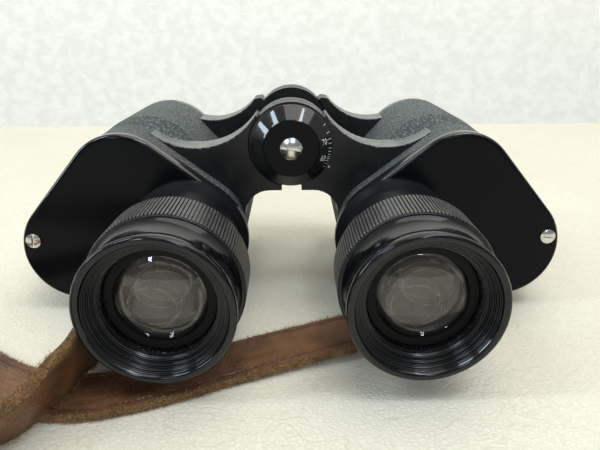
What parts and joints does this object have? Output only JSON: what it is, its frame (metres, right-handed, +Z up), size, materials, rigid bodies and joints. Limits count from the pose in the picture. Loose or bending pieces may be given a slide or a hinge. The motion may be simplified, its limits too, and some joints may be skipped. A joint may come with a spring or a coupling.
{
  "type": "folding prism binoculars",
  "caption": "Folding prism binoculars with a hinge scale, a focusing ring on each eyepiece and a leather carrying strap.",
  "frame": {"origin": "on the supporting surface, under the middle of the two halves and half way along the optics, the strap left out", "axes": "+X to the right as seen from the eyepieces, +Y along the optical axes towards the objectives, +Z up"},
  "size_m": [0.3358, 0.1976, 0.0592],
  "materials": {
    "black_enamel": "black enamel on cast light alloy, worn to grey on edges",
    "leatherette": "fine-grained, matt",
    "gloss_black": "gloss black enamel",
    "black_tube": "satin black",
    "ribbed_ring": "black, ribs worn lighter",
    "bakelite": "gloss",
    "glass": "polished, coated",
    "chromed_screws": "dull chrome",
    "spring_steel": "plain",
    "steel": "plain",
    "brass": "plain",
    "strap_leather": "worn red-brown"
  },
  "bodies": {
    "left": {"left_casting": "black_enamel", "left_leatherette": "leatherette", "left_eyepiece_cover": "gloss_black", "left_objective_cover": "gloss_black", "left_cover_screws": "chromed_screws", "left_eyepiece_prism": "glass", "left_objective_prism": "glass", "left_prism_clips": "spring_steel", "left_clip_screws": "brass", "left_fixed_tube": "black_tube", "left_barrel": "black_tube", "left_objective_cell": "black_tube", "left_objective_crown": "glass", "left_objective_flint": "glass", "left_objective_ring": "black_tube", "hinge_axle": "steel", "hinge_tube": "black_enamel", "hinge_washers": "brass", "scale_cap": "gloss_black", "front_cap": "gloss_black", "cap_screws": "chromed_screws", "strap": "strap_leather"},
    "left_lens_slide": {"left_lens_tube": "black_tube", "left_eye_lens": "glass", "left_eye_lens_ring": "black_tube", "left_field_lens": "glass", "left_lens_spacer": "black_tube", "left_field_stop": "black_tube"},
    "left_focus": {"left_focus_ring": "ribbed_ring", "left_eyecup": "bakelite"},
    "right": {"right_casting": "black_enamel", "right_leatherette": "leatherette", "right_eyepiece_cover": "gloss_black", "right_objective_cover": "gloss_black", "right_cover_screws": "chromed_screws", "right_eyepiece_prism": "glass", "right_objective_prism": "glass", "right_prism_clips": "spring_steel", "right_clip_screws": "brass", "right_fixed_tube": "black_tube", "right_barrel": "black_tube", "right_objective_cell": "black_tube", "right_objective_crown": "glass", "right_objective_flint": "glass", "right_objective_ring": "black_tube"},
    "right_lens_slide": {"right_lens_tube": "black_tube", "right_eye_lens": "glass", "right_eye_lens_ring": "black_tube", "right_field_lens": "glass", "right_lens_spacer": "black_tube", "right_field_stop": "black_tube"},
    "right_focus": {"right_focus_ring": "ribbed_ring", "right_eyecup": "bakelite"}
  },
  "joints": [
    {"name": "fold", "type": "hinge", "parent": "left", "child": "right", "pos_m": [0, 0.01825, 0.0471], "axis": [0, -1, 0], "range_deg": [-3.3, 63.9], "deforming": ["strap"]},
    {"name": "left_focus_slide", "type": "slide", "parent": "left", "child": "left_lens_slide", "axis": [0, -1, 0], "range_m": [-0.0028, 0.0033]},
    {"name": "left_focus_turn", "type": "hinge", "parent": "left_lens_slide", "child": "left_focus", "pos_m": [-0.0287, -0.04175, 0.0232], "axis": [0, -1, 0], "range_deg": [-110, 130]},
    {"name": "right_focus_slide", "type": "slide", "parent": "right", "child": "right_lens_slide", "axis": [0, -1, 0], "range_m": [-0.0028, 0.0033]},
    {"name": "right_focus_turn", "type": "hinge", "parent": "right_lens_slide", "child": "right_focus", "pos_m": [0.0287, -0.04175, 0.0232], "axis": [0, -1, 0], "range_deg": [-110, 130]}
  ],
  "couplings": [
    {"joint": "left_focus_slide", "follows": "left_focus_turn", "m_per_rad": 0.0014324},
    {"joint": "right_focus_slide", "follows": "right_focus_turn", "m_per_rad": 0.0014324}
  ]
}
